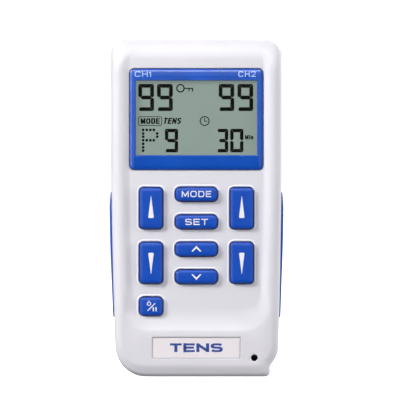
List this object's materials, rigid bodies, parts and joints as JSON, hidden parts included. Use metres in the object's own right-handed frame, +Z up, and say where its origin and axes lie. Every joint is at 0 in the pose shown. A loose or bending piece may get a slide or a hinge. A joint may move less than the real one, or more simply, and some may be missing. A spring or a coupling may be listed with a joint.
{
  "type": "transcutaneous nerve stimulator",
  "caption": "Upright handheld nerve stimulator with a display, a soft-cornered white case, blue keys, side grips, lead sockets on top, a battery door and a sprung belt clip.",
  "frame": {"origin": "on the flat bottom edge, under the middle of the case's width, 2 mm in front of the line where the two shells meet", "axes": "+Z up along the case's height, +X to the right as seen from the key side, +Y from the keys towards the belt clip"},
  "size_m": [0.062, 0.0346, 0.12],
  "materials": {
    "case_white": "satin moulded ABS",
    "grip_blue": "matt soft-touch overmould",
    "key_blue": "semi-gloss moulded",
    "bezel_blue": "gloss",
    "window_clear": "clear acrylic, optically polished",
    "lcd_glass": "reflective grey-green liquid crystal",
    "lcd_ink": "dark liquid-crystal segments",
    "label_film": "printed polyester film",
    "label_ink": "blue screen print",
    "legend_white": "white pad print",
    "legend_pale_blue": "pale blue pad print",
    "zebra_black": "conductive elastomer",
    "silicone_grey": "matt silicone",
    "board_green": "solder mask",
    "chip_black": "moulded epoxy",
    "tape_yellow": "polyester winding tape",
    "ferrite_grey": "sintered ferrite",
    "capacitor_sleeve": "shrunk sleeve",
    "socket_black": "moulded nylon",
    "cell_sleeve": "printed shrink sleeve",
    "contact_steel": "nickel plated",
    "spring_steel": "nickel-plated spring wire",
    "screw_zinc": "zinc plated"
  },
  "bodies": {
    "case": {"front_cover": "case_white", "rear_cover": "case_white", "left_grip": "grip_blue", "right_grip": "grip_blue", "name_plate": "label_film", "display_bezel": "bezel_blue", "display_window": "window_clear", "lcd_panel": "lcd_glass", "lcd_tray": "case_white", "zebra_strip": "zebra_black", "keypad_mat": "silicone_grey", "main_board": "board_green", "microcontroller": "chip_black", "transformer_1": "tape_yellow", "transformer_2": "tape_yellow", "capacitor_1": "capacitor_sleeve", "capacitor_2": "capacitor_sleeve", "buzzer": "chip_black", "output_socket_1": "socket_black", "output_socket_2": "socket_black", "battery_1": "cell_sleeve", "battery_2": "cell_sleeve", "battery_spring_1": "spring_steel", "battery_spring_2": "spring_steel", "battery_link_plate": "contact_steel", "battery_terminal_positive": "contact_steel", "battery_terminal_negative": "contact_steel", "case_screw_upper_left": "screw_zinc", "case_screw_upper_right": "screw_zinc", "case_screw_lower_left": "screw_zinc", "case_screw_lower_right": "screw_zinc", "board_screw_left": "screw_zinc", "board_screw_right": "screw_zinc", "clip_screw_left": "screw_zinc", "clip_screw_right": "screw_zinc", "clip_bracket": "case_white", "clip_pin": "contact_steel", "clip_spring": "spring_steel"},
    "battery_door": {"battery_door": "case_white"},
    "clip_lever": {"clip_lever": "case_white"},
    "key_channel_1_up": {"key_channel_1_up": "key_blue"},
    "key_channel_1_down": {"key_channel_1_down": "key_blue"},
    "key_channel_2_up": {"key_channel_2_up": "key_blue"},
    "key_channel_2_down": {"key_channel_2_down": "key_blue"},
    "key_mode": {"key_mode": "key_blue"},
    "key_set": {"key_set": "key_blue"},
    "key_up": {"key_up": "key_blue"},
    "key_down": {"key_down": "key_blue"},
    "key_power": {"key_power": "key_blue"}
  },
  "joints": [
    {"name": "battery_door_hinge", "type": "hinge", "parent": "case", "child": "battery_door", "pos_m": [0, 0.0126, 0.0074], "axis": [-1, 0, 0], "range_deg": [0, 75]},
    {"name": "clip_lever_hinge", "type": "hinge", "parent": "case", "child": "clip_lever", "pos_m": [0, 0.0166, 0.106], "axis": [1, 0, 0], "range_deg": [0, 20], "stiffness_Nm_per_rad": 0.05, "springref_deg": -45.84},
    {"name": "key_channel_1_up_press", "type": "slide", "parent": "case", "child": "key_channel_1_up", "axis": [0, 1, 0], "range_m": [0, 0.001], "stiffness_N_per_m": 800},
    {"name": "key_channel_1_down_press", "type": "slide", "parent": "case", "child": "key_channel_1_down", "axis": [0, 1, 0], "range_m": [0, 0.001], "stiffness_N_per_m": 800},
    {"name": "key_channel_2_up_press", "type": "slide", "parent": "case", "child": "key_channel_2_up", "axis": [0, 1, 0], "range_m": [0, 0.001], "stiffness_N_per_m": 800},
    {"name": "key_channel_2_down_press", "type": "slide", "parent": "case", "child": "key_channel_2_down", "axis": [0, 1, 0], "range_m": [0, 0.001], "stiffness_N_per_m": 800},
    {"name": "key_mode_press", "type": "slide", "parent": "case", "child": "key_mode", "axis": [0, 1, 0], "range_m": [0, 0.001], "stiffness_N_per_m": 800},
    {"name": "key_set_press", "type": "slide", "parent": "case", "child": "key_set", "axis": [0, 1, 0], "range_m": [0, 0.001], "stiffness_N_per_m": 800},
    {"name": "key_up_press", "type": "slide", "parent": "case", "child": "key_up", "axis": [0, 1, 0], "range_m": [0, 0.001], "stiffness_N_per_m": 800},
    {"name": "key_down_press", "type": "slide", "parent": "case", "child": "key_down", "axis": [0, 1, 0], "range_m": [0, 0.001], "stiffness_N_per_m": 800},
    {"name": "key_power_press", "type": "slide", "parent": "case", "child": "key_power", "axis": [0, 1, 0], "range_m": [0, 0.001], "stiffness_N_per_m": 800}
  ]
}
